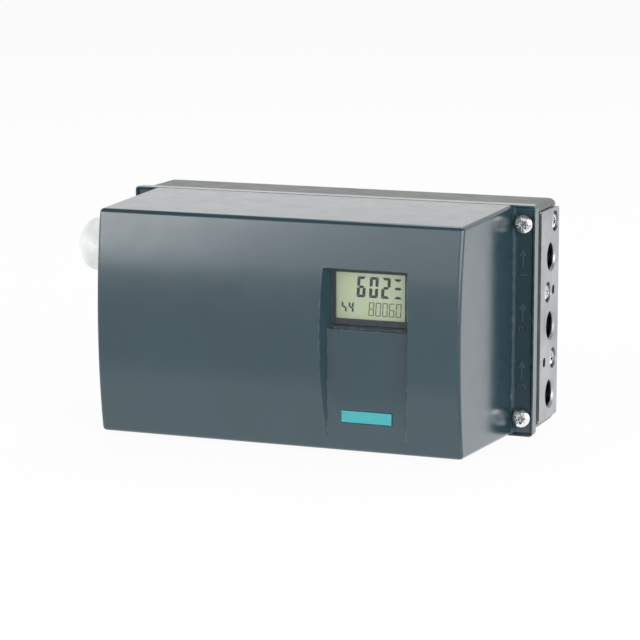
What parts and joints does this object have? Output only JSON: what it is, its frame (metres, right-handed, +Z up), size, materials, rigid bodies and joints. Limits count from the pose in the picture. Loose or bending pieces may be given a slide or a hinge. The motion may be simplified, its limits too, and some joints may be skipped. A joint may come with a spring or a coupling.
{
  "type": "valve positioner",
  "caption": "Box-shaped valve positioner with a lift-off cover, display window, threaded port strip, cable gland and a feedback shaft that leaves its flat back.",
  "frame": {"origin": "on the flat back face, at the middle of the housing", "axes": "+X towards the port strip, +Y out of the back, -Y towards the cover's front, +Z up"},
  "size_m": [0.2183, 0.1139, 0.0986],
  "materials": {
    "cover_plastic": "glossy blue-grey moulding",
    "base_grey": "satin warm grey",
    "port_aluminium": "fine satin",
    "chrome": "bright",
    "steel": "bright",
    "brass": "turned",
    "black_rubber": "matte",
    "clear_lens": "clear",
    "display_glass": "reflective display",
    "display_frame": "matte",
    "teal_plate": "satin",
    "white_nylon": "satin",
    "yellow_nylon": "satin",
    "carrier_grey": "matte",
    "key_grey": "matte",
    "black_plastic": "matte",
    "board_green": "solder mask",
    "terminal_green": "matte",
    "sintered_bronze": "sintered"
  },
  "bodies": {
    "base": {"base_housing": "base_grey", "cover_gasket": "black_rubber", "port_strip": "port_aluminium", "strip_gasket": "black_rubber", "strip_screw_1": "chrome", "strip_screw_2": "chrome", "strip_screw_3": "chrome", "mounting_insert_1": "brass", "mounting_insert_2": "brass", "mounting_insert_3": "brass", "mounting_insert_4": "brass", "exhaust_silencer": "sintered_bronze", "gland_body": "white_nylon", "gland_nut": "white_nylon", "gland_seal": "black_rubber", "gland_washer": "black_rubber", "blanking_plug": "white_nylon", "plug_washer": "black_rubber", "ground_clamp": "steel", "ground_screw": "steel", "shaft_bush": "brass", "shaft_seal": "black_rubber", "sensor_potentiometer": "black_plastic", "sensor_bracket": "steel", "bracket_screw_1": "steel", "bracket_screw_2": "steel", "circuit_board": "board_green", "electronics_carrier": "carrier_grey", "carrier_screw_1": "steel", "carrier_screw_2": "steel", "display_frame": "display_frame", "display_glass": "display_glass", "terminal_block_1": "terminal_green", "terminal_block_2": "terminal_green", "valve_block": "black_plastic", "pilot_valve": "carrier_grey"},
    "cover": {"cover": "cover_plastic", "window_lens": "clear_lens", "front_plate": "teal_plate", "cover_screw_1": "chrome", "cover_screw_2": "chrome", "cover_screw_3": "chrome", "cover_screw_4": "chrome"},
    "shaft": {"feedback_shaft": "steel", "drive_gear": "white_nylon", "shaft_circlip": "steel"},
    "adjusting_wheel": {"clutch_wheel": "black_plastic"},
    "pinion": {"sensor_pinion": "white_nylon"},
    "selector": {"ratio_selector": "yellow_nylon"},
    "key_1": {"operator_key_1": "key_grey"},
    "key_2": {"operator_key_2": "key_grey"},
    "key_3": {"operator_key_3": "key_grey"},
    "restrictor_1": {"restrictor_screw_1": "brass"},
    "restrictor_2": {"restrictor_screw_2": "brass"},
    "purge_slide": {"purge_air_selector": "yellow_nylon"}
  },
  "joints": [
    {"name": "cover_lift", "type": "slide", "parent": "base", "child": "cover", "axis": [0, -1, 0], "range_m": [0, 0.085]},
    {"name": "shaft_turn", "type": "hinge", "parent": "base", "child": "shaft", "pos_m": [0.02, 0, -0.022], "axis": [0, 1, 0], "range_deg": [-50, 50]},
    {"name": "wheel_slip", "type": "hinge", "parent": "shaft", "child": "adjusting_wheel", "pos_m": [0.02, -0.0595, -0.022], "axis": [0, 1, 0], "range_deg": [-180, 180]},
    {"name": "pinion_turn", "type": "hinge", "parent": "base", "child": "pinion", "pos_m": [0.02, -0.0163, 0.002], "axis": [0, 1, 0], "range_deg": [-100, 100]},
    {"name": "ratio_select", "type": "hinge", "parent": "base", "child": "selector", "pos_m": [0.046, -0.058, -0.0258], "axis": [0, 1, 0], "range_deg": [0, 90]},
    {"name": "key_1_press", "type": "slide", "parent": "base", "child": "key_1", "axis": [0, 1, 0], "range_m": [0, 0.0008], "stiffness_N_per_m": 800},
    {"name": "key_2_press", "type": "slide", "parent": "base", "child": "key_2", "axis": [0, 1, 0], "range_m": [0, 0.0008], "stiffness_N_per_m": 800},
    {"name": "key_3_press", "type": "slide", "parent": "base", "child": "key_3", "axis": [0, 1, 0], "range_m": [0, 0.0008], "stiffness_N_per_m": 800},
    {"name": "restrictor_1_turn", "type": "hinge", "parent": "base", "child": "restrictor_1", "pos_m": [0.06735, -0.044, -0.008], "axis": [0, 1, 0], "range_deg": [0, 360]},
    {"name": "restrictor_2_turn", "type": "hinge", "parent": "base", "child": "restrictor_2", "pos_m": [0.06735, -0.044, -0.0205], "axis": [0, 1, 0], "range_deg": [0, 360]},
    {"name": "purge_select", "type": "slide", "parent": "base", "child": "purge_slide", "axis": [0, 0, 1], "range_m": [0, 0.0034]}
  ],
  "couplings": [
    {"joint": "pinion_turn", "follows": "shaft_turn", "ratio": -2}
  ]
}
